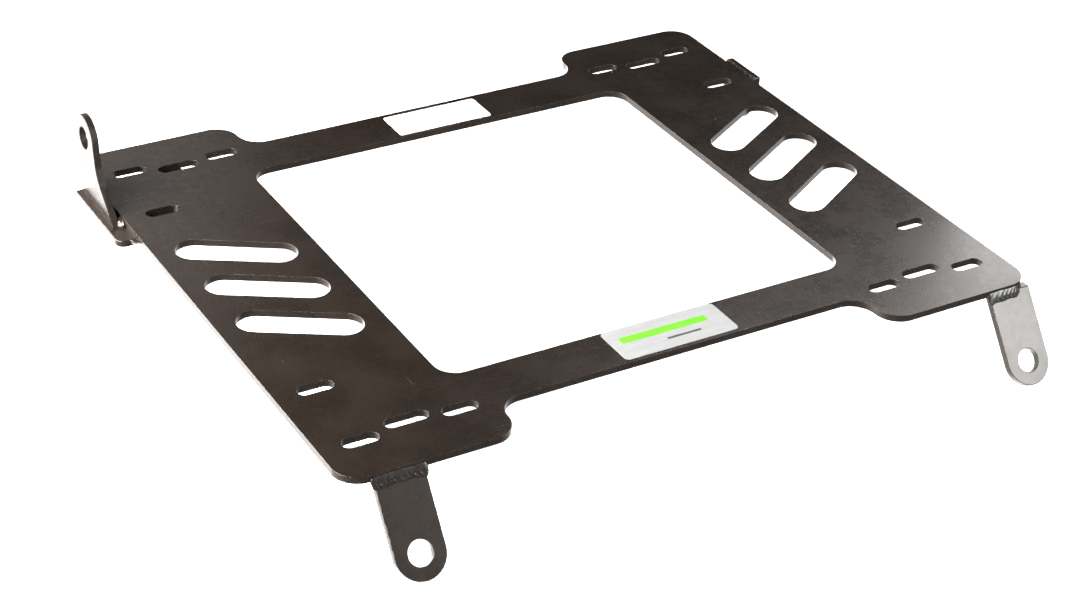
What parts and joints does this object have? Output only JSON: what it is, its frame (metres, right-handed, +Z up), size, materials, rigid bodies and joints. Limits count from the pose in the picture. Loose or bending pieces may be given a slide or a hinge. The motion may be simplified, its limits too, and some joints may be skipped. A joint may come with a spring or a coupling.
{
  "type": "seat mounting bracket",
  "caption": "Flat steel plate with slotted seat bolt holes and welded tabs that bolt a racing seat to a car floor.",
  "frame": {"origin": "centre of the seat bolt slots, on the base plate's top face", "axes": "+X to the right along the front and rear rails, +Y to the rear, +Z up out of the top face"},
  "size_m": [0.5282, 0.4662, 0.1162],
  "materials": {
    "powder_coat": "satin black powder coat",
    "coated_weld": "glossy black over rippled weld",
    "silver_label": "metallic silver film",
    "white_label": "matt white film"
  },
  "bodies": {
    "root": {"base_plate": "powder_coat", "front_left_tab": "powder_coat", "front_right_tab": "powder_coat", "rear_left_foot": "powder_coat", "rear_left_tab": "powder_coat", "rear_right_tab": "powder_coat", "front_left_weld": "coated_weld", "front_right_weld": "coated_weld", "rear_left_weld": "coated_weld", "rear_left_foot_weld": "coated_weld", "rear_right_weld": "coated_weld", "front_label": "silver_label", "rear_label": "white_label"}
  },
  "joints": []
}
